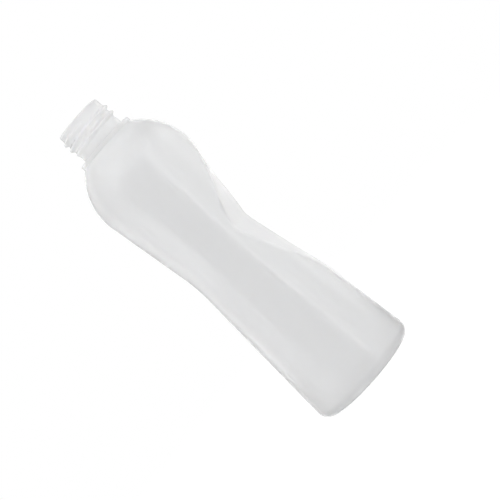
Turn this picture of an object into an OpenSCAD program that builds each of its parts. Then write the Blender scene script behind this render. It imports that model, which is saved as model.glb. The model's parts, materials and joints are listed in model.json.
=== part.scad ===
// Squeeze bottle, blown in one piece from soft translucent plastic and shown without a cap.
// It is round about +Z and stands on z = 0 with its open mouth up: a base with a pushed-up
// middle, two flanks that meet in a waist, a domed shoulder, a collar and a threaded neck.
// One side is pressed in at the waist, as when a thumb squeezes it: two flats that slope into
// the wall and meet in a rounded valley. Set press_depth to 0 for the bottle at rest.

/* [Body] */
// Height from the surface it stands on to the rim
height = 155; // [140:1:180]
// Diameter at the widest part of the shoulder
shoulder_d = 47.6; // [45:0.2:52]
// Diameter at the narrowest part of the waist
waist_d = 39.4; // [35:0.2:42]
// Diameter at the widest part of the foot, just above the heel
foot_d = 49.9; // [46:0.1:54]
// Height of the narrowest part of the waist, as a share of the whole height
waist_share = 0.474; // [0.42:0.002:0.52]
// Radius of the shoulder's dome, seen from the side
shoulder_r = 26.5; // [25:0.5:28]
// Radius of the hollow curve of the waist, seen from the side
waist_r = 80; // [60:5:100]

/* [Base] */
// Radius of the heel, where the side turns under
heel_r = 4.5; // [3.5:0.5:8]
// Width of the flat ring that the bottle stands on
ring_w = 1.1; // [0.8:0.1:2]
// Rise of the pushed-up middle of the base
push_up = 2.2; // [1:0.1:4]

/* [Neck] */
// Diameter of the plain neck, under the thread
neck_d = 21.3; // [21.2:0.1:21.5]
// Diameter of the opening
bore_d = 17.6; // [17:0.1:18.4]
// Height of the neck, from the collar's top face to the rim
neck_h = 14.2; // [13:0.1:16]
// Diameter of the collar at the foot of the neck
collar_d = 27.4; // [26.6:0.1:28.4]
// Height of the collar's side, down to the shoulder
collar_h = 1.9; // [1.4:0.1:2.6]
// Rounding of the rim's outer edge
rim_r = 0.6; // [0.3:0.1:0.9]

/* [Thread] */
// Diameter over the thread's crest
crest_d = 23.7; // [23.5:0.1:23.9]
// Distance from one turn to the next
pitch = 3.175; // [3:0.025:3.4]
// Depth of the thread's upper end below the rim
thread_drop = 2.7; // [2.2:0.1:3]
// Turns of the thread, both run-outs counted
thread_turns = 2.4; // [1.5:0.1:2.6]
// Width of the thread where it leaves the neck
thread_foot = 2.4; // [2:0.1:2.8]
// Width of the thread's flat crest
thread_crest = 0.8; // [0.5:0.1:1]
// Direction of the thread's upper end, counted from +X
thread_end = 290; // [0:5:355]
// Angle over which each end of the thread runs out
run_out = 80; // [40:5:120]

/* [Pressed side] */
// Depth of the press at the bottom of its valley
press_depth = 6.5; // [0:0.5:7.5]
// Direction that the pressed side faces, counted from +X
press_dir = -10; // [-180:5:180]
// Height of the valley, as a share of the whole height
press_share = 0.513; // [0.49:0.001:0.54]
// Radius of the valley, seen from the side
press_r = 12; // [8:0.5:16]
// Slope of the flat above the valley, away from upright
slope_above = 17.4; // [14:0.2:20]
// Slope of the flat below the valley, away from upright
slope_below = 14.4; // [13:0.2:20]

/* [Wall] */
// Thickness of the body's wall
wall = 0.85; // [0.6:0.05:1.2]

/* [Hidden] */

round_fn = 72;
arc_step = 6;
thread_step = 10;
past = 1;
thread_sunk = 0.5;
thread_left = 0.2;

collar_z = height - neck_h;
shoulder_x = shoulder_d / 2 - shoulder_r;
shoulder_rise = sqrt(pow(shoulder_r, 2) - pow(collar_d / 2 - shoulder_x, 2));
shoulder_c = [shoulder_x, collar_z - collar_h - shoulder_rise];
waist_c = [waist_d / 2 + waist_r, waist_share * height];
heel_c = [foot_d / 2 - heel_r, heel_r];
ring_in = heel_c[0] - ring_w;
dome_r = (ring_in * ring_in + push_up * push_up) / (2 * push_up);
dome_c = [0, push_up - dome_r];
dome_a = asin(ring_in / dome_r);
valley_c = [waist_d / 2 - press_depth + press_r, press_share * height];
flat_reach = height / 2;
thread_root = neck_d / 2 - thread_sunk;
thread_run = thread_root + thread_left;
thread_low = thread_end - 360 * thread_turns;

// Points along an arc about c, from angle a0 to a1, both ends counted
function arc(c, r, a0, a1) =
    let (n = max(2, ceil(abs(a1 - a0) / arc_step)))
    [for (i = [0:n]) let (a = a0 + (a1 - a0) * i / n) c + r * [cos(a), sin(a)]];

// Angle of the normal of the straight flank that touches a round bulge and the hollow waist,
// where reach is the sum of their radii
function flank_angle(bulge, reach) =
    let (d = waist_c - bulge, side = sign(d[1]))
    side * (atan2(abs(d[1]), d[0]) - acos(reach / norm(d)));

upper_a = flank_angle(shoulder_c, shoulder_r + waist_r);
lower_a = flank_angle(heel_c, heel_r + waist_r);

// Half outline of the body from the middle of the base to the shoulder, moved inwards by t.
// The flanks need no points of their own: they join the ends of the arcs that they touch.
function half_body(t, top_a) = concat(
    arc(dome_c, dome_r + t, 90, 90 - dome_a),
    arc(heel_c, heel_r - t, -90, lower_a),
    arc(waist_c, waist_r + t, 180 + lower_a, 180 + upper_a),
    arc(shoulder_c, shoulder_r - t, upper_a, top_a)
);

// Angle on the shoulder's arc, moved inwards by t, where it reaches radius r
function shoulder_angle(r, t) = acos((r - shoulder_c[0]) / (shoulder_r - t));

// Outside of the bottle without the thread and the pressed side
module outside() {
    rotate_extrude($fn = round_fn)
        polygon(concat(
            half_body(0, shoulder_angle(collar_d / 2, 0)),
            [[collar_d / 2, collar_z], [neck_d / 2, collar_z]],
            arc([neck_d / 2 - rim_r, height - rim_r], rim_r, 0, 90),
            [[0, height]]
        ));
}

// Space inside the bottle, up through the opening
module inside() {
    rotate_extrude($fn = round_fn)
        polygon(concat(
            half_body(wall, shoulder_angle(bore_d / 2, wall)),
            [[bore_d / 2, height + past], [0, height + past]]
        ));
}

// Point on the valley's arc grown by t, where the flat that leans by angle a starts or ends,
// moved along that flat by reach; up is 1 above the valley and -1 below it
function flat_point(t, a, up, reach) =
    valley_c + (press_r + t) * [-cos(a), up * sin(a)] + reach * [sin(a), up * cos(a)];

// What the press takes away, grown by t: a wedge with a rounded edge that lies across the side
module press(t) {
    if (press_depth > 0)
        rotate([90, 0, press_dir])
            linear_extrude(height = 2 * shoulder_d, center = true)
                polygon(concat(
                    arc(valley_c, press_r + t, 180 - slope_above, 180 + slope_below),
                    [flat_point(t, slope_below, -1, flat_reach), flat_point(t, slope_above, 1, flat_reach)]
                ));
}

// Height of the thread at angle a, counted from its upper end
function thread_z(a) = height - thread_drop - pitch * (thread_end - a) / 360;

// Share of the full thread height at angle a, which falls to nothing at both ends
function thread_rise(a) = min(1, (a - thread_low) / run_out, (thread_end - a) / run_out);

// One cross-section of the thread, a trapezium whose foot is inside the neck's wall. At its two
// ends the thread has sunk to thread_run, which is inside the wall too.
function thread_section(a) =
    let (
        z = thread_z(a),
        r = thread_run + (crest_d / 2 - thread_run) * thread_rise(a)
    )
    [for (p = [
        [thread_root, -thread_foot / 2],
        [r, -thread_crest / 2],
        [r, thread_crest / 2],
        [thread_root, thread_foot / 2]
    ]) [p[0] * cos(a), p[0] * sin(a), z + p[1]]];

module thread() {
    n = ceil((thread_end - thread_low) / thread_step);
    sections = [for (i = [0:n]) thread_section(thread_low + (thread_end - thread_low) * i / n)];
    sides = [for (i = [0:n - 1], k = [0:3])
        let (a = 4 * i + k, b = 4 * i + (k + 1) % 4)
        each [[a, b, b + 4], [a, b + 4, a + 4]]];
    polyhedron(
        points = [for (s = sections) each s],
        faces = concat([[3, 2, 1, 0]], sides, [[for (k = [0:3]) 4 * n + k]]),
        convexity = 6
    );
}

module bottle() {
    color([0.87, 0.87, 0.89])
        difference() {
            union() {
                difference() {
                    outside();
                    press(0);
                }
                thread();
            }
            difference() {
                inside();
                press(wall);
            }
        }
}

bottle();
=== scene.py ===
"""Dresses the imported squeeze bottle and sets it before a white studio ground."""

import json
import logging
import math
from bisect import bisect
from dataclasses import dataclass, field
from enum import Enum

import bpy
from mathutils import Matrix, Vector


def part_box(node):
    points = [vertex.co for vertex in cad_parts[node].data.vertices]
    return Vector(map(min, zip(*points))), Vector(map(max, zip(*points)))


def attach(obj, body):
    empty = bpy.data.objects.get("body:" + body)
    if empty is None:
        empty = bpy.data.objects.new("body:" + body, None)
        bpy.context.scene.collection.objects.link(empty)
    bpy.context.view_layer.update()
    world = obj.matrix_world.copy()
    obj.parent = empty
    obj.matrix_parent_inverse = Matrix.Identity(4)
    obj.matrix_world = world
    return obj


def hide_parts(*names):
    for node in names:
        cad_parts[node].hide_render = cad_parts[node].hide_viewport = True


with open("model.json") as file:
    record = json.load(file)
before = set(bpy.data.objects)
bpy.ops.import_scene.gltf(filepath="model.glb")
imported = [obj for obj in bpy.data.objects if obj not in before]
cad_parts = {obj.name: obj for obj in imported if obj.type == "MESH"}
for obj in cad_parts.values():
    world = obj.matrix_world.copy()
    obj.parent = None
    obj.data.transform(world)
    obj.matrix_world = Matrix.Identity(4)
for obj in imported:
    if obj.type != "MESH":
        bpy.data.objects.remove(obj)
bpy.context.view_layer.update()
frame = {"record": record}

log = logging.getLogger("bottle")

MM = 0.001
NODE = "bottle"
BODY = "root"
PHOTO_SIDE = 500
FULL_TURN = 360
SAME_PLACE = 1e-7
# A Mix node's sockets for colours: the share and the two colours, and the result
MIX_INPUTS = (0, 6, 7)
MIX_RESULT = 2


class Wall(Enum):
    """The two skins of the bottle's wall."""

    OUTER = 0
    INNER = 1


def mount(name: str) -> dict:
    """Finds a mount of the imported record.

    Args:
        name: The mount's name.

    Returns:
        The mount's entry.
    """
    return next(entry for entry in frame["record"]["mounts"] if entry["name"] == name)


def deselect_all() -> None:
    """Leaves object mode with nothing selected."""
    if bpy.context.object and bpy.context.object.mode != "OBJECT":
        bpy.ops.object.mode_set(mode="OBJECT")
    bpy.ops.object.select_all(action="DESELECT")


def activate(piece: bpy.types.Object) -> None:
    """Selects one object alone and makes it active."""
    deselect_all()
    piece.select_set(True)
    bpy.context.view_layer.objects.active = piece


def smooth(share: float) -> float:
    """Eases a share in and out, held between 0 and 1."""
    share = min(1.0, max(0.0, share))
    return share * share * (3 - 2 * share)


def arc(centre: tuple[float, float], radius: float, start: float, end: float,
        step: float) -> list[Vector]:
    """Points along an arc in the (radius, height) plane.

    Args:
        centre: The arc's centre.
        radius: The arc's radius.
        start: The first point's angle, in degrees.
        end: The last point's angle, in degrees.
        step: The longest stretch between two points, in metres.

    Returns:
        The points, both ends counted.
    """
    length = abs(math.radians(end - start)) * radius
    count = max(2, math.ceil(length / step))
    angles = [math.radians(start + (end - start) * i / count) for i in range(count + 1)]
    return [Vector((centre[0] + radius * math.cos(angle), centre[1] + radius * math.sin(angle)))
            for angle in angles]


def joined(points: list[Vector], step: float) -> list[Vector]:
    """Adds points along the longer stretches of an outline.

    Args:
        points: The outline's corners.
        step: The longest stretch that is left, in metres.

    Returns:
        The outline with its long stretches divided and its doubled points dropped.
    """
    dense = [points[0]]
    for corner in points[1:]:
        last = dense[-1]
        length = (corner - last).length
        if length < SAME_PLACE:
            continue
        count = max(1, math.ceil(length / step))
        dense += [last.lerp(corner, (i + 1) / count) for i in range(count)]
    return dense


@dataclass
class PressMark:
    """The pressed side: two flats that lean into the waist and meet in a rounded valley.

    Attributes:
        height: Height of the valley.
        reach: Distance of the valley's bottom from the axis, outside the wall.
        facing: The way that the valley faces, in degrees from +X.
        facing_above: The way that the upper flat faces at its top.
        facing_below: The way that the lower flat faces at its foot.
        twist_above: Height over which the upper flat turns.
        twist_below: Height over which the lower flat turns.
        twist_from: Height over the valley at which the upper flat starts to turn.
        slope_above: Slope of the flat above the valley, in degrees from upright.
        slope_below: Slope of the flat below the valley, in degrees from upright.
        valley: Rounding of the valley, as the height that it takes off the flats' meeting line.
        ridge: Softness of the fold where a flat meets the round body.
        turned_away: Cosine of the angle from its facing beyond which the press doesn't reach.
        untouched: Distance inside the flat, in ridges, from which a point stays where it is.
    """

    height: float
    reach: float = 13.2 * MM
    facing: float = -15.0
    facing_above: float = -2.0
    facing_below: float = -8.0
    twist_above: float = 27.0 * MM
    twist_below: float = 32.0 * MM
    twist_from: float = 4.5 * MM
    slope_above: float = 17.4
    slope_below: float = 14.4
    valley: float = 0.6 * MM
    ridge: float = 0.3 * MM
    turned_away: float = 0.2
    untouched: float = 12.0

    def direction(self, z: float) -> float:
        """Way that the pressed side faces at a height, in radians from +X."""
        climb = z - self.height
        if climb > 0:
            share, end = (climb - self.twist_from) / self.twist_above, self.facing_above
        else:
            share, end = -climb / self.twist_below, self.facing_below
        return math.radians(self.facing + (end - self.facing) * smooth(share))

    def flat(self, z: float, inset: float) -> float:
        """Distance of the flat from the axis.

        Args:
            z: Height of the point.
            inset: How far the skin lies inside the outer one.

        Returns:
            The distance, in metres.
        """
        slope = math.radians(self.slope_above if z > self.height else self.slope_below)
        climb = math.tan(slope) * (z - self.height)
        return self.reach - self.valley + math.hypot(self.valley, climb) - inset / math.cos(slope)

    def pressed(self, point: Vector, inset: float) -> Vector:
        """Moves a point of the round body onto the pressed one.

        Args:
            point: A point of the round body.
            inset: How far the point's skin lies inside the outer one.

        Returns:
            The moved point, at the same height and angle.
        """
        radius = math.hypot(point.x, point.y)
        towards = math.cos(math.atan2(point.y, point.x) - self.direction(point.z))
        if towards < self.turned_away:
            return point
        limit = self.flat(point.z, inset) / towards
        if limit - radius > self.untouched * self.ridge:
            return point
        weights = math.exp(-radius / self.ridge) + math.exp(-limit / self.ridge)
        soft = -self.ridge * math.log(weights)
        return Vector((point.x * soft / radius, point.y * soft / radius, point.z))


@dataclass
class BottleWall:
    """The blown wall: base, flanks, waist, shoulder, collar and the plain neck.

    Attributes:
        height: Height from the surface it stands on to the rim.
        foot_radius: Radius just above the heel.
        bore_radius: Radius of the opening.
        shoulder_radius: Radius at the widest part of the shoulder.
        waist_radius: Radius at the narrowest part of the waist.
        waist_share: Height of the waist as a share of the whole height.
        dome: Radius of the shoulder's dome, seen from the side.
        hollow: Radius of the waist's hollow curve, seen from the side.
        heel: Radius of the heel.
        ring: Width of the flat ring that the bottle stands on.
        push_up: Rise of the middle of the base.
        neck_height: Height of the neck above the collar.
        neck_radius: Radius of the plain neck.
        collar_radius: Radius of the collar.
        collar_height: Height of the collar's side.
        rim_outer: Rounding of the rim's outer edge.
        rim_inner: Rounding of the rim's inner edge.
        collar_edge: Rounding of the collar's edge and of the corner over it.
        thickness: Thickness of the body's wall.
        press_share: Height of the pressed valley as a share of the whole height.
        turns: Divisions round the axis.
        step: Longest stretch of the outline.
        rim_step: Longest stretch of the rim's outer edge.
        bore_step: Longest stretch of the rim's inner edge.
        edge_step: Longest stretch of the collar's roundings.
        merge: Distance under which two points of the spun wall become one.
        press: The pressed side.
    """

    height: float
    foot_radius: float
    bore_radius: float
    shoulder_radius: float = 23.8 * MM
    waist_radius: float = 19.7 * MM
    waist_share: float = 0.474
    dome: float = 26.5 * MM
    hollow: float = 80.0 * MM
    heel: float = 4.5 * MM
    ring: float = 1.1 * MM
    push_up: float = 2.2 * MM
    neck_height: float = 14.2 * MM
    neck_radius: float = 10.65 * MM
    collar_radius: float = 13.7 * MM
    collar_height: float = 1.9 * MM
    rim_outer: float = 0.6 * MM
    rim_inner: float = 0.3 * MM
    collar_edge: float = 0.3 * MM
    thickness: float = 0.85 * MM
    press_share: float = 0.513
    turns: int = 168
    step: float = 1.2 * MM
    rim_step: float = 0.15 * MM
    bore_step: float = 0.1 * MM
    edge_step: float = 0.12 * MM
    merge: float = 0.004 * MM
    press: PressMark = field(init=False)

    def __post_init__(self) -> None:
        """Places the press mark on the finished sizes."""
        self.press = PressMark(height=self.press_share * self.height)

    @property
    def collar_top(self) -> float:
        """Height of the collar's top face."""
        return self.height - self.neck_height

    @property
    def dome_centre(self) -> Vector:
        """Centre of the shoulder's arc, which ends where the collar's side starts."""
        x = self.shoulder_radius - self.dome
        rise = math.sqrt(self.dome**2 - (self.collar_radius - x) ** 2)
        return Vector((x, self.collar_top - self.collar_height - rise))

    @property
    def hollow_centre(self) -> Vector:
        """Centre of the waist's arc."""
        return Vector((self.waist_radius + self.hollow, self.waist_share * self.height))

    @property
    def heel_centre(self) -> Vector:
        """Centre of the heel's arc."""
        return Vector((self.foot_radius - self.heel, self.heel))

    def flank(self, bulge: Vector, reach: float) -> float:
        """Angle of the straight flank that touches a bulge and the hollow waist.

        Args:
            bulge: Centre of the bulge's arc.
            reach: The sum of the two arcs' radii.

        Returns:
            The angle of the flank's normal, in degrees.
        """
        way = self.hollow_centre - bulge
        turn = math.atan2(abs(way.y), way.x) - math.acos(reach / way.length)
        return math.degrees(math.copysign(turn, way.y))

    def half_body(self, inset: float, top: float) -> list[Vector]:
        """Half outline from the middle of the base up the shoulder.

        Args:
            inset: How far the skin lies inside the outer one.
            top: Angle on the shoulder's arc where the outline ends, in degrees.

        Returns:
            The outline's points.
        """
        upper = self.flank(self.dome_centre, self.dome + self.hollow)
        lower = self.flank(self.heel_centre, self.heel + self.hollow)
        ring_in = self.heel_centre.x - self.ring
        base = (ring_in**2 + self.push_up**2) / (2 * self.push_up)
        spread = math.degrees(math.asin(ring_in / base))
        fine = self.step / 2
        return (
            arc((0.0, self.push_up - base), base + inset, 90, 90 - spread, self.step)
            + arc(self.heel_centre, self.heel - inset, -90, lower, fine)
            + arc(self.hollow_centre, self.hollow + inset, 180 + lower, 180 + upper, self.step)
            + arc(self.dome_centre, self.dome - inset, upper, top, self.step)
        )

    def dome_angle(self, radius: float, inset: float) -> float:
        """Angle on the shoulder's arc where it reaches a radius, in degrees."""
        return math.degrees(math.acos((radius - self.dome_centre.x) / (self.dome - inset)))

    def outline(self, skin: Wall) -> list[Vector]:
        """Half outline of one skin, from the base to the top of the rim.

        Args:
            skin: The outer or the inner skin.

        Returns:
            The outline's points.
        """
        if skin is Wall.INNER:
            corner = (self.bore_radius + self.rim_inner, self.height - self.rim_inner)
            inner_top = self.dome_angle(self.bore_radius, self.thickness)
            points = self.half_body(self.thickness, inner_top)
            return joined(points + arc(corner, self.rim_inner, 180, 90, self.bore_step), self.step)
        edge, step = self.collar_edge, self.edge_step
        neck, collar, top = self.neck_radius, self.collar_radius, self.collar_top
        rim = (neck - self.rim_outer, self.height - self.rim_outer)
        points = (
            self.half_body(0.0, self.dome_angle(collar, 0.0))
            + arc((collar - edge, top - edge), edge, 0, 90, step)
            + arc((neck + edge, top + edge), edge, 270, 180, step)
            + arc(rim, self.rim_outer, 0, 90, self.rim_step)
        )
        return joined(points, self.step)

    def draw_section(self) -> bpy.types.Object:
        """Extrudes the wall's half section as one chain of edges, up outside and back inside.

        Returns:
            The object that holds the chain.
        """
        chain = self.outline(Wall.OUTER) + self.outline(Wall.INNER)[::-1]
        deselect_all()
        bpy.ops.mesh.primitive_plane_add(size=MM, location=(0, 0, 0))
        piece = bpy.context.object
        bpy.ops.object.mode_set(mode="EDIT")
        bpy.ops.mesh.merge(type="CENTER")
        bpy.ops.transform.translate(value=(chain[0].x, 0, chain[0].y))
        for before, after in zip(chain, chain[1:]):
            move = (after.x - before.x, 0, after.y - before.y)
            bpy.ops.mesh.extrude_region_move(TRANSFORM_OT_translate={"value": move})
        bpy.ops.object.mode_set(mode="OBJECT")
        return piece

    def turn(self, piece: bpy.types.Object) -> None:
        """Spins the section round the axis and closes its seam and its two poles."""
        activate(piece)
        bpy.ops.object.mode_set(mode="EDIT")
        bpy.ops.mesh.select_all(action="SELECT")
        bpy.ops.mesh.spin(steps=self.turns, angle=math.tau, center=(0, 0, 0), axis=(0, 0, 1))
        bpy.ops.mesh.select_all(action="SELECT")
        bpy.ops.mesh.remove_doubles(threshold=self.merge)
        bpy.ops.mesh.normals_make_consistent(inside=False)
        bpy.ops.object.mode_set(mode="OBJECT")

    def press_in(self, piece: bpy.types.Object) -> None:
        """Pushes the points of both skins onto the flats of the press mark."""
        # Only the side wall's outline is as wide as this: the base and the neck fall away.
        narrowest = self.waist_radius - self.thickness / 4
        side = [point for point in self.outline(Wall.OUTER) if point.x > narrowest]
        heights = [point.y for point in side]
        for vertex in piece.data.vertices:
            if not self.heel < vertex.co.z < self.dome_centre.y + self.heel:
                continue
            radius = math.hypot(vertex.co.x, vertex.co.y)
            outer = side[bisect(heights, vertex.co.z)].x
            inset = self.thickness if radius < outer - self.thickness / 2 else 0.0
            vertex.co = self.press.pressed(vertex.co, inset)

    def build(self) -> bpy.types.Object:
        """Makes the whole wall.

        Returns:
            The finished object, at the origin.
        """
        piece = self.draw_section()
        self.turn(piece)
        self.press_in(piece)
        return piece


@dataclass
class NeckThread:
    """The raised thread, a rounded ridge that winds up the neck and runs out at both ends.

    Attributes:
        neck_radius: Radius of the plain neck.
        crest_radius: Radius over the crest.
        rim: Height of the rim.
        pitch: Distance from one turn to the next.
        drop: Depth of the upper end below the rim.
        turns: Turns, both run-outs counted.
        foot: Width where the ridge leaves the neck.
        crest: Width of the crest.
        end: Direction of the upper end, in degrees from +X.
        run_out: Angle over which each end runs out, in degrees.
        sunk: Depth of the ridge's hidden foot inside the wall.
        rounding: Rounding of the crest's two edges, as a share of the ridge's depth.
        bevel: How far the rounding's outer points stand off its corner, as shares of the
            rounding: across and down on the crest.
        buried: Depth that a run-out end sinks to, as a share of the hidden foot.
        steps: Divisions of one turn.
    """

    neck_radius: float
    crest_radius: float
    rim: float
    pitch: float = 3.175 * MM
    drop: float = 2.7 * MM
    turns: float = 2.4
    foot: float = 2.4 * MM
    crest: float = 0.8 * MM
    end: float = 290.0
    run_out: float = 80.0
    sunk: float = 0.5 * MM
    rounding: float = 0.35
    bevel: tuple[float, float] = (0.25, 0.2)
    buried: float = 0.4
    steps: int = 96

    def section(self) -> list[Vector]:
        """Cross-section of the ridge as (radius, height) points, counted from its middle."""
        rounding = self.rounding * (self.crest_radius - self.neck_radius)
        across, down = (share * rounding for share in self.bevel)
        foot, crest = self.foot / 2, self.crest / 2
        upper = [
            Vector((self.crest_radius - across, crest - down)),
            Vector((self.crest_radius - rounding, crest + across)),
            Vector((self.neck_radius, foot)),
            Vector((self.neck_radius - self.sunk, foot)),
        ]
        lower = [Vector((point.x, -point.y)) for point in reversed(upper)]
        return lower + [Vector((self.crest_radius, 0))] + upper

    def rise(self, share: float) -> float:
        """Share of the full ridge that stands at a place along it.

        Args:
            share: The place, from 0 at the lower end to 1 at the upper.

        Returns:
            0 where the ridge has run out, 1 where it is whole.
        """
        whole = FULL_TURN * self.turns
        return smooth(min(share, 1 - share) * whole / self.run_out)

    def build(self) -> bpy.types.Object:
        """Winds the section up the neck.

        Returns:
            The closed ridge, at the origin.
        """
        section = self.section()
        count = len(section)
        start = math.radians(self.end - FULL_TURN * self.turns)
        low = self.rim - self.drop - self.pitch * self.turns
        deselect_all()
        bpy.ops.mesh.primitive_circle_add(vertices=count, radius=MM, fill_type="NOTHING")
        piece = bpy.context.object
        for vertex, point in zip(piece.data.vertices, section):
            vertex.co = (point.x * math.cos(start), point.x * math.sin(start), low + point.y)
        winding = piece.modifiers.new("winding", "SCREW")
        winding.axis = "Z"
        winding.angle = math.tau * self.turns
        winding.screw_offset = self.pitch * self.turns
        winding.steps = winding.render_steps = round(self.steps * self.turns)
        winding.use_smooth_shade = True
        activate(piece)
        bpy.ops.object.modifier_apply(modifier=winding.name)
        rows = len(piece.data.vertices) // count
        hidden = self.neck_radius - self.buried * self.sunk
        for vertex in piece.data.vertices:
            radius = math.hypot(vertex.co.x, vertex.co.y)
            if radius > hidden:
                kept = hidden + (radius - hidden) * self.rise((vertex.index // count) / (rows - 1))
                vertex.co.x *= kept / radius
                vertex.co.y *= kept / radius
        bpy.ops.object.mode_set(mode="EDIT")
        bpy.ops.mesh.select_all(action="DESELECT")
        bpy.ops.mesh.select_non_manifold(extend=False)
        bpy.ops.mesh.edge_face_add()
        bpy.ops.mesh.select_all(action="SELECT")
        bpy.ops.mesh.normals_make_consistent(inside=False)
        bpy.ops.object.mode_set(mode="OBJECT")
        return piece


class Socket(Enum):
    """Kinds of sockets that the shared node groups use."""

    VALUE = "NodeSocketFloat"
    VECTOR = "NodeSocketVector"


@dataclass
class NodeSheet:
    """A node tree that is laid out from left to right.

    Attributes:
        tree: The tree.
        column: Place of the next node.
        spacing: Distance from one node to the next, across and down.
        rows: Number of rows.
    """

    tree: bpy.types.NodeTree
    column: int = 0
    spacing: tuple[int, int] = (190, 220)
    rows: int = 3

    @classmethod
    def of(cls, owner: bpy.types.Material | bpy.types.World) -> "NodeSheet":
        """Clears the nodes of a material or a world for a new layout."""
        owner.use_nodes = True
        owner.node_tree.nodes.clear()
        return cls(owner.node_tree)

    def add(self, kind: str, label: str = "", **values: object) -> bpy.types.Node:
        """Adds a node.

        Args:
            kind: The node's type.
            label: What the node does, in plain words.
            **values: Properties of the node.

        Returns:
            The node.
        """
        node = self.tree.nodes.new(kind)
        node.label = label
        for name, value in values.items():
            setattr(node, name, value)
        across, down = self.spacing
        node.location = (self.column * across, -down * (self.column % self.rows))
        self.column += 1
        return node

    def link(self, start: bpy.types.NodeSocket, end: bpy.types.NodeSocket) -> None:
        """Links two sockets."""
        self.tree.links.new(start, end)

    def fill(self, slot: bpy.types.NodeSocket, value: object) -> None:
        """Gives an input its value.

        Args:
            slot: The input.
            value: A socket, which is linked, a number, or a colour without its alpha.
        """
        if isinstance(value, bpy.types.NodeSocket):
            self.link(value, slot)
        elif isinstance(value, tuple):
            slot.default_value = (*value, 1)
        else:
            slot.default_value = value

    def group(self, tree: bpy.types.NodeTree,
              place: bpy.types.NodeSocket) -> bpy.types.bpy_prop_collection:
        """Adds a shared node group.

        Args:
            tree: The group's tree.
            place: The place in the object.

        Returns:
            The group's outputs, by name.
        """
        node = self.add("ShaderNodeGroup", tree.name)
        node.node_tree = tree
        self.link(place, node.inputs["Place"])
        return node.outputs

    def axes(self, place: bpy.types.NodeSocket) -> bpy.types.bpy_prop_collection:
        """Splits a place into its X, Y and Z."""
        node = self.add("ShaderNodeSeparateXYZ")
        self.link(place, node.inputs[0])
        return node.outputs

    def math(self, operation: str, first: object, second: object,
             label: str = "") -> bpy.types.NodeSocket:
        """Adds a Math node.

        Args:
            operation: The node's operation.
            first: A socket or a number.
            second: A socket or a number.
            label: What the node does.

        Returns:
            The node's result.
        """
        node = self.add("ShaderNodeMath", label, operation=operation)
        self.fill(node.inputs[0], first)
        self.fill(node.inputs[1], second)
        return node.outputs[0]

    def mix(self, amount: bpy.types.NodeSocket, first: object, second: object,
            label: str) -> bpy.types.NodeSocket:
        """Mixes two colours.

        Args:
            amount: Share of the second colour.
            first: A colour, or a socket that gives one.
            second: The same.
            label: What the mix stands for.

        Returns:
            The mixed colour.
        """
        node = self.add("ShaderNodeMix", label, data_type="RGBA")
        for index, value in zip(MIX_INPUTS, (amount, first, second)):
            self.fill(node.inputs[index], value)
        return node.outputs[MIX_RESULT]

    def blend(self, amount: bpy.types.NodeSocket, first: bpy.types.NodeSocket,
              second: bpy.types.NodeSocket, label: str) -> bpy.types.NodeSocket:
        """Mixes two shaders.

        Args:
            amount: Share of the second shader.
            first: The first shader.
            second: The second shader.
            label: What the mix stands for.

        Returns:
            The mixed shader.
        """
        node = self.add("ShaderNodeMixShader", label)
        for slot, value in zip(node.inputs, (amount, first, second)):
            self.fill(slot, value)
        return node.outputs[0]

    def spread(self, value: bpy.types.NodeSocket, low: float, high: float,
               to: tuple[float, float] = (0, 1)) -> bpy.types.NodeSocket:
        """Maps a value from one range to another, eased and held at both ends.

        Args:
            value: The value.
            low: The value that gives the first result.
            high: The value that gives the last result.
            to: The first and the last result.

        Returns:
            The mapped value.
        """
        node = self.add("ShaderNodeMapRange", interpolation_type="SMOOTHSTEP")
        self.link(value, node.inputs["Value"])
        titles = ("From Min", "From Max", "To Min", "To Max")
        for title, number in zip(titles, (low, high, *to)):
            node.inputs[title].default_value = number
        return node.outputs["Result"]


def new_group(name: str, *outputs: str) -> tuple[NodeSheet, bpy.types.NodeSocket, bpy.types.Node]:
    """Starts a node group that works on a place in the object and gives values.

    Args:
        name: The group's name.
        *outputs: The names of its values.

    Returns:
        The sheet, the place that comes in, and the node that the results go to.
    """
    tree = bpy.data.node_groups.new(name, "ShaderNodeTree")
    tree.interface.new_socket("Place", in_out="INPUT", socket_type=Socket.VECTOR.value)
    for title in outputs:
        tree.interface.new_socket(title, in_out="OUTPUT", socket_type=Socket.VALUE.value)
    sheet = NodeSheet(tree)
    place = sheet.add("NodeGroupInput").outputs["Place"]
    return sheet, place, sheet.add("NodeGroupOutput")


@dataclass(frozen=True)
class Pattern:
    """One noise pattern.

    Attributes:
        name: What the noise stands for.
        patches: Patches per metre along X, Y and Z.
        detail: Levels of finer noise.
        roughness: Strength of each finer level.
    """

    name: str
    patches: tuple[float, float, float]
    detail: float
    roughness: float = 0.55

    def add(self, sheet: NodeSheet, place: bpy.types.NodeSocket) -> bpy.types.NodeSocket:
        """Adds the pattern to a sheet.

        Args:
            sheet: The sheet it is laid on.
            place: The place in the object.

        Returns:
            The noise, from 0 to 1.
        """
        mapping = sheet.add("ShaderNodeMapping", f"{self.name} scale", vector_type="POINT")
        mapping.inputs["Scale"].default_value = self.patches
        sheet.link(place, mapping.inputs["Vector"])
        node = sheet.add("ShaderNodeTexNoise", self.name)
        sheet.fill(node.inputs["Scale"], 1.0)
        sheet.fill(node.inputs["Detail"], self.detail)
        sheet.fill(node.inputs["Roughness"], self.roughness)
        sheet.link(mapping.outputs["Vector"], node.inputs["Vector"])
        return node.outputs["Fac"]


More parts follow.
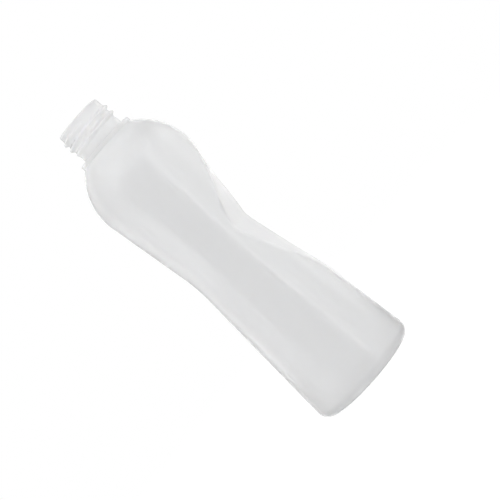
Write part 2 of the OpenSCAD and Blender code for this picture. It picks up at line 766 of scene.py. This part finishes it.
@dataclass(frozen=True)
class WallPatterns:
    """Shared patterns of a blown wall: its uneven thickness, its skin and its mould line.

    Attributes:
        cloud: Slow change of the wall's thickness.
        cloud_range: Noise that stands for the thinnest and the thickest wall.
        streak: Streaks of the flow.
        streak_range: The same for the streaks.
        ripple: Soft ripples of the skin.
        ripple_height: Height of the ripples.
        grain: Fine grain of the skin.
        grain_height: Height of the grain.
        line_half: Half the width of the mould line on the sides.
        line_height: Height of that line.
        seam_crest: Half the width of the seam's crest under the base.
        seam_half: Half the width of the seam's foot.
        seam_height: Height of the seam.
        seam_length: Half the length of the seam, as a share of the foot's radius.
        seam_top: Height up to which the seam is whole, in push-ups of the base.
        seam_fade: Height at which it is gone, as a multiple of that height.
    """

    cloud: Pattern = Pattern("cloud", (28, 28, 16), 2.0)
    cloud_range: tuple[float, float] = (0.3, 0.7)
    streak: Pattern = Pattern("streak", (420, 420, 9), 3.0)
    streak_range: tuple[float, float] = (0.35, 0.65)
    ripple: Pattern = Pattern("ripple", (150, 150, 70), 1.0)
    ripple_height: float = 0.06 * MM
    grain: Pattern = Pattern("grain", (2600, 2600, 2600), 2.0)
    grain_height: float = 0.0035 * MM
    line_half: float = 0.25 * MM
    line_height: float = 0.012 * MM
    seam_crest: float = 0.15 * MM
    seam_half: float = 0.6 * MM
    seam_height: float = 0.22 * MM
    seam_length: float = 0.45
    seam_top: float = 1.6
    seam_fade: float = 1.2

    def thickness(self) -> bpy.types.NodeTree:
        """Makes the group for the wall's slow change in thickness, with streaks of the flow."""
        sheet, place, out = new_group("wall_thickness", "Cloud", "Streak")
        cloud, streak = self.cloud.add(sheet, place), self.streak.add(sheet, place)
        sheet.link(sheet.spread(cloud, *self.cloud_range), out.inputs["Cloud"])
        sheet.link(sheet.spread(streak, *self.streak_range), out.inputs["Streak"])
        return sheet.tree

    def skin(self) -> bpy.types.NodeTree:
        """Makes the group for the skin's relief, in metres: soft ripples and a fine grain."""
        sheet, place, out = new_group("wall_skin", "Relief")
        ripple = sheet.math("MULTIPLY", self.ripple.add(sheet, place), self.ripple_height)
        grain = sheet.math("MULTIPLY", self.grain.add(sheet, place), self.grain_height)
        sheet.link(sheet.math("ADD", ripple, grain), out.inputs["Relief"])
        return sheet.tree

    def mould_line(self, wall: BottleWall) -> bpy.types.NodeTree:
        """Makes the group for the line where the mould closed, with the seam under the base.

        Args:
            wall: The bottle's sizes, which place the seam.

        Returns:
            The group, whose relief is in metres.
        """
        length, top = self.seam_length * wall.foot_radius, self.seam_top * wall.push_up
        sheet, place, out = new_group("mould_line", "Relief")
        axes = sheet.axes(place)
        across = sheet.math("ABSOLUTE", axes["Y"], 0.0)
        along = sheet.math("ABSOLUTE", axes["X"], 0.0)
        line = sheet.spread(across, 0.0, self.line_half, (1, 0))
        seam = sheet.spread(across, self.seam_crest, self.seam_half, (1, 0))
        short = sheet.spread(along, length, length + self.line_half, (1, 0))
        under = sheet.spread(axes["Z"], top, self.seam_fade * top, (1, 0))
        pinch = sheet.math("MULTIPLY", sheet.math("MULTIPLY", seam, short), under)
        raised = sheet.math("MULTIPLY", pinch, self.seam_height)
        sides = sheet.math("MULTIPLY", line, self.line_height)
        sheet.link(sheet.math("ADD", sides, raised), out.inputs["Relief"])
        return sheet.tree


@dataclass(frozen=True)
class MilkyPlastic:
    """Natural low-density polyethylene: milky, translucent, with a satin skin.

    Attributes:
        thin: Colour where the wall is thin.
        thick: Colour where the wall is thick.
        heel: Colour of the heel, which is clear all through; its lighter tone is painted light
            that lifts the floor's shade at the foot.
        rim: Colour of the rim, darker than the neck as painted shade.
        clear: Share of the light that passes straight on, blurred, where the wall is thin.
        clear_thick: The same share where the wall is thick.
        haze: Lowest and highest blur of the light that passes through the body.
        haze_neck: Blur of the light that passes through the neck.
        cloud_share: Part of the way from thin to thick that the clouds go.
        streak_share: The same for the streaks.
        neck_span: Depths under the collar's top between which the wall grows thick.
        heel_span: Heights between which the heel's colour, lighter as painted light, fades out, in
            heel radii.
        rim_span: Depths under the rim between which its colour, darker as painted shade, comes in.
        index: Refractive index.
        shine: Strength of the outer skin's shine.
        gloss: Roughness of that shine.
        scatter: How far light spreads in the plastic.
        bleed: Shares of that distance for red, green and blue.
    """

    thin: tuple[float, float, float] = (0.879, 0.881, 0.885)
    thick: tuple[float, float, float] = (0.904, 0.905, 0.907)
    heel: tuple[float, float, float] = (0.965, 0.966, 0.97)
    rim: tuple[float, float, float] = (0.8, 0.802, 0.806)
    clear: float = 0.88
    clear_thick: float = 0.55
    haze: tuple[float, float] = (0.3, 0.36)
    haze_neck: float = 0.7
    cloud_share: float = 0.2
    streak_share: float = 0.06
    neck_span: tuple[float, float] = (15 * MM, 2 * MM)
    heel_span: tuple[float, float] = (0.3, 2.2)
    rim_span: tuple[float, float] = (6.5 * MM, 0.5 * MM)
    index: float = 1.51
    shine: float = 0.6
    gloss: float = 0.1
    scatter: float = 2.5 * MM
    bleed: tuple[float, float, float] = (1.0, 0.98, 0.94)

    def make(self, wall: BottleWall) -> bpy.types.Material:
        """Makes the material.

        Args:
            wall: The bottle's sizes, which place the neck, the heel, the rim and the mould line.

        Returns:
            The material.
        """
        material = bpy.data.materials.new("milky_plastic")
        sheet = NodeSheet.of(material)
        place = sheet.add("ShaderNodeTexCoord").outputs["Object"]
        patterns = WallPatterns()
        body = sheet.group(patterns.thickness(), place)
        skin = sheet.group(patterns.skin(), place)
        line = sheet.group(patterns.mould_line(wall), place)
        height = sheet.axes(place)["Z"]
        neck = sheet.spread(height, *(wall.collar_top - depth for depth in self.neck_span))
        # Rim mask: it carries the rim's painted shade.
        rim = sheet.spread(height, *(wall.height - depth for depth in self.rim_span))
        # Heel mask: 1 at the foot and 0 above; it carries the heel's painted light and its
        # clearness.
        heel = sheet.spread(height, *(share * wall.heel for share in self.heel_span), to=(1, 0))
        cloud = sheet.math("MULTIPLY", body["Cloud"], self.cloud_share)
        streak = sheet.math("MULTIPLY", body["Streak"], self.streak_share)
        uneven = sheet.math("ADD", cloud, streak)
        amount = sheet.math("MAXIMUM", neck, uneven, "wall thickness")
        colour = sheet.mix(amount, self.thin, self.thick, "thin to thick")
        # The heel's lighter colour is painted light that lifts the floor's shade at the foot.
        colour = sheet.mix(heel, colour, self.heel, "heel")
        # The rim's darker colour is painted shade.
        colour = sheet.mix(rim, colour, self.rim, "rim")
        haze = sheet.spread(body["Cloud"], 0, 1, self.haze)
        haze_neck = sheet.math("MULTIPLY", neck, self.haze_neck)
        clear = sheet.spread(amount, 0, 1, (self.clear, self.clear_thick))
        relief = sheet.add("ShaderNodeBump", "skin relief")
        height_map = sheet.math("ADD", skin["Relief"], line["Relief"])
        for title, value in {"Strength": 1.0, "Distance": 1.0, "Height": height_map}.items():
            sheet.fill(relief.inputs[title], value)
        shader = sheet.add("ShaderNodeBsdfPrincipled", "milky plastic")
        shader.inputs["Subsurface Radius"].default_value = self.bleed
        for title, value in {
            "Base Color": colour,
            "Roughness": sheet.math("MAXIMUM", haze, haze_neck),
            "IOR": self.index,
            "Normal": relief.outputs["Normal"],
            "Transmission Weight": sheet.math("MAXIMUM", clear, heel),
            "Coat Weight": self.shine,
            "Coat Roughness": self.gloss,
            "Coat IOR": self.index,
            "Subsurface Weight": 1.0,
            "Subsurface Scale": self.scatter,
        }.items():
            sheet.fill(shader.inputs[title], value)
        out = sheet.add("ShaderNodeOutputMaterial")
        sheet.link(shader.outputs["BSDF"], out.inputs["Surface"])
        return material


@dataclass
class SqueezeBottle:
    """The whole bottle, one piece of plastic: the blown wall with the thread fused to its neck.

    Attributes:
        wall: The wall's sizes.
        thread: The thread's sizes.
        finish: The plastic.
        crease: Angle from which an edge stays sharp, in degrees.
    """

    wall: BottleWall
    thread: NeckThread
    finish: MilkyPlastic
    crease: float = 38.0

    @classmethod
    def from_frame(cls) -> "SqueezeBottle":
        """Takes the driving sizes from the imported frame.

        Returns:
            The bottle's description.
        """
        low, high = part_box(NODE)
        wall = BottleWall(
            height=high[2] - low[2],
            foot_radius=(high[0] - low[0]) / 2,
            bore_radius=mount("neck_bore")["dims"]["r_mm"] * MM,
        )
        thread = NeckThread(
            neck_radius=wall.neck_radius,
            crest_radius=mount("neck_thread")["dims"]["r_mm"] * MM,
            rim=wall.height,
        )
        return cls(wall=wall, thread=thread, finish=MilkyPlastic())

    def fuse(self, wall: bpy.types.Object, thread: bpy.types.Object) -> None:
        """Joins the thread to the wall as one closed solid."""
        union = wall.modifiers.new("thread", "BOOLEAN")
        union.operation = "UNION"
        union.solver = "EXACT"
        union.object = thread
        activate(wall)
        bpy.ops.object.modifier_apply(modifier=union.name)
        bpy.data.objects.remove(thread, do_unlink=True)

    def build(self) -> bpy.types.Object:
        """Makes, smooths and dresses the bottle.

        Returns:
            The finished piece.
        """
        piece = self.wall.build()
        self.fuse(piece, self.thread.build())
        piece.name = piece.data.name = "bottle_wall"
        activate(piece)
        bpy.ops.object.shade_smooth_by_angle(angle=math.radians(self.crease))
        piece.data.materials.clear()
        piece.data.materials.append(self.finish.make(self.wall))
        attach(piece, BODY)
        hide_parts(NODE)
        return piece


@dataclass
class PhotoCamera:
    """The camera that takes the photograph's view of the bottle.

    Attributes:
        distance: Distance from the bottle's axis.
        height: Height over the surface that the bottle stands on.
        aim: The point at the middle of the picture.
        roll: Turn of the picture, in degrees.
        focal_px: Focal length in pixels of the photograph.
        sensor: Width of the picture in the camera, in millimetres.
        nearest: Distance from which the camera sees.
    """

    distance: float = 600 * MM
    height: float = 97.4 * MM
    aim: tuple[float, float, float] = (6.2 * MM, 0.0, 68.8 * MM)
    roll: float = -48.65
    focal_px: float = 1498.0
    sensor: float = 36.0
    nearest: float = 10 * MM

    def build(self) -> bpy.types.Object:
        """Places the camera and makes it the scene's own.

        Returns:
            The camera.
        """
        place = Vector((0.0, -self.distance, self.height))
        forward = (Vector(self.aim) - place).normalized()
        level = forward.cross(Vector((0, 0, 1))).normalized()
        turned = Matrix.Rotation(-math.radians(self.roll), 3, forward)
        right = turned @ level
        upward = right.cross(forward)
        deselect_all()
        bpy.ops.object.camera_add(location=place)
        camera = bpy.context.object
        camera.name = "photo_camera"
        axes = Matrix((right, upward, -forward)).transposed()
        camera.rotation_euler = axes.to_euler()
        camera.data.sensor_width = self.sensor
        camera.data.lens = self.focal_px / PHOTO_SIDE * self.sensor
        camera.data.clip_start = self.nearest
        bpy.context.scene.camera = camera
        return camera


@dataclass(frozen=True)
class Softbox:
    """One soft lamp.

    Attributes:
        name: The lamp's name.
        side: Its direction seen from above, in degrees from the camera's side towards +X.
        lift: Its direction over the level, in degrees.
        distance: Its distance from the bottle's middle, in metres.
        size: Its width and height, in metres.
        glow: Brightness of its face, where 1 is white.
        fills: Whether it also lights dull surfaces; otherwise it only shows in a shine.
    """

    name: str
    side: float
    lift: float
    distance: float
    size: tuple[float, float]
    glow: float
    fills: bool

    def build(self, aim: Vector) -> bpy.types.Object:
        """Hangs the lamp.

        Args:
            aim: The point that the lamp faces.

        Returns:
            The lamp.
        """
        side, lift = math.radians(self.side), math.radians(self.lift)
        level = math.cos(lift)
        way = Vector((math.sin(side) * level, -math.cos(side) * level, math.sin(lift)))
        deselect_all()
        bpy.ops.object.light_add(type="AREA", location=aim + self.distance * way)
        lamp = bpy.context.object
        lamp.name = self.name
        lamp.data.shape = "RECTANGLE"
        lamp.data.size, lamp.data.size_y = self.size
        lamp.data.energy = self.glow * math.pi * self.size[0] * self.size[1]
        lamp.rotation_euler = (-way).to_track_quat("-Z", "Y").to_euler()
        lamp.visible_diffuse = self.fills
        lamp.visible_camera = False
        return lamp


@dataclass
class Studio:
    """The plain white ground, the soft lamps and the pale floor.

    Attributes:
        ambient: Brightness of the room's own light.
        lamps: The soft lamps.
        floor_side: Side of the floor.
        floor_gap: Depth of the floor under the bottle.
        floor_clear: Radius at which the floor has faded out.
        floor_fade: Share of that radius at which it starts to fade.
        floor_white: Colour of the floor.
        floor_grey: Darkest tone of the floor's grain, as a share of that colour.
        floor_grain: The floor's grain.
        floor_clean: Share of plain white that the eye sees in the floor; the rest is its shadow.
        floor_glow: Strength of that white.
    """

    ambient: float = 0.97
    lamps: tuple[Softbox, ...] = (
        Softbox("key_softbox", 72, 4, 0.55, (0.8, 0.8), 0.64, False),
        Softbox("edge_strip", 34.5, 2, 0.62, (0.045, 0.5), 2.6, False),
        Softbox("right_softbox", 116, 4, 0.6, (0.5, 0.8), 0.88, False),
        Softbox("back_strip", 156, 0, 0.6, (0.3, 0.6), 0.34, False),
        Softbox("left_softbox", -95, -14, 0.6, (1.1, 0.42), 0.85, True),
        Softbox("left_high", -100, 32, 0.6, (1.0, 0.36), 0.65, False),
        Softbox("left_back", -128, -6, 0.6, (0.3, 0.7), 0.2, False),
        Softbox("top_softbox", 0, 72, 0.8, (2.0, 1.1), 0.52, True),
        Softbox("top_shine", 0, 62, 0.8, (2.0, 0.8), 0.6, False),
    )
    floor_side: float = 1.4
    floor_gap: float = 0.05 * MM
    floor_clear: float = 0.42
    floor_fade: float = 0.3
    floor_white: float = 0.9
    floor_grey: float = 0.97
    floor_grain: Pattern = Pattern("paper grain", (60, 60, 60), 3.0)
    floor_clean: float = 0.85
    floor_glow: float = 1.1

    @staticmethod
    def seen(sheet: NodeSheet) -> bpy.types.NodeSocket:
        """Adds the test for rays that show the ground to the eye, in glass or in a gloss.

        Args:
            sheet: The sheet it is laid on.

        Returns:
            1 for such a ray, otherwise 0.
        """
        ray = sheet.add("ShaderNodeLightPath").outputs
        straight = sheet.math("MAXIMUM", ray["Is Camera Ray"], ray["Is Glossy Ray"])
        return sheet.math("MAXIMUM", straight, ray["Is Transmission Ray"], "seen")

    @staticmethod
    def white(sheet: NodeSheet, kind: str, label: str, strength: float) -> bpy.types.NodeSocket:
        """Adds a plain white light.

        Args:
            sheet: The sheet it is laid on.
            kind: The type of the light's node.
            label: What the light stands for.
            strength: Its brightness.

        Returns:
            The light.
        """
        node = sheet.add(kind, label)
        sheet.fill(node.inputs["Color"], (1, 1, 1))
        sheet.fill(node.inputs["Strength"], strength)
        return node.outputs[0]

    def build_world(self) -> None:
        """Makes the room: white to the eye, and a plain even light on the bottle."""
        world = bpy.data.worlds.new("white_ground")
        bpy.context.scene.world = world
        sheet = NodeSheet.of(world)
        room = self.white(sheet, "ShaderNodeBackground", "room light", self.ambient)
        ground = self.white(sheet, "ShaderNodeBackground", "white ground", 1.0)
        both = sheet.blend(self.seen(sheet), room, ground, "room or ground")
        out = sheet.add("ShaderNodeOutputWorld")
        sheet.link(both, out.inputs["Surface"])

    def floor_material(self) -> bpy.types.Material:
        """Makes the floor's material: pale, with the bottle's soft shadow, and gone further out.

        Returns:
            The material.
        """
        material = bpy.data.materials.new("pale_floor")
        sheet = NodeSheet.of(material)
        place = sheet.add("ShaderNodeTexCoord").outputs["Object"]
        shades = (self.floor_white, self.floor_grey * self.floor_white)
        pale, grey = ((shade,) * 3 for shade in shades)
        paper = sheet.add("ShaderNodeBsdfDiffuse", "paper")
        tone = sheet.mix(self.floor_grain.add(sheet, place), pale, grey, "paper")
        sheet.link(tone, paper.inputs["Color"])
        white = self.white(sheet, "ShaderNodeEmission", "white ground", self.floor_glow)
        clean = sheet.math("MULTIPLY", self.seen(sheet), self.floor_clean)
        lit = sheet.blend(clean, paper.outputs[0], white, "shadow kept")
        reach = sheet.add("ShaderNodeVectorMath", "distance from the bottle", operation="LENGTH")
        sheet.link(place, reach.inputs[0])
        start = self.floor_fade * self.floor_clear
        gone = sheet.spread(reach.outputs["Value"], start, self.floor_clear)
        nothing = sheet.add("ShaderNodeBsdfTransparent").outputs[0]
        fade = sheet.blend(gone, lit, nothing, "fade out")
        out = sheet.add("ShaderNodeOutputMaterial")
        sheet.link(fade, out.inputs["Surface"])
        return material

    def build_floor(self) -> bpy.types.Object:
        """Lays the floor just under the bottle.

        Returns:
            The floor.
        """
        deselect_all()
        bpy.ops.mesh.primitive_plane_add(size=self.floor_side, location=(0, 0, 0))
        floor = bpy.context.object
        floor.name = "floor"
        floor.data.transform(Matrix.Translation((0, 0, -self.floor_gap)))
        floor.data.materials.append(self.floor_material())
        return floor

    def build(self, aim: Vector) -> None:
        """Sets up the studio.

        Args:
            aim: The point that the lamps face.
        """
        bpy.context.scene.view_settings.view_transform = "Standard"
        self.build_world()
        self.build_floor()
        for lamp in self.lamps:
            lamp.build(aim)


def main() -> None:
    """Builds the bottle, the camera and the studio."""
    logging.basicConfig(level=logging.INFO, format="%(name)s: %(message)s")
    bottle = SqueezeBottle.from_frame()
    piece = bottle.build()
    faces, height = len(piece.data.polygons), bottle.wall.height
    log.info("%s: %d faces, %.1f mm high", piece.name, faces, height / MM)
    camera = PhotoCamera().build()
    log.info("%s: lens %.1f mm", camera.name, camera.data.lens)
    Studio().build(aim=Vector((0, 0, height / 2)))


if __name__ == "__main__":
    main()
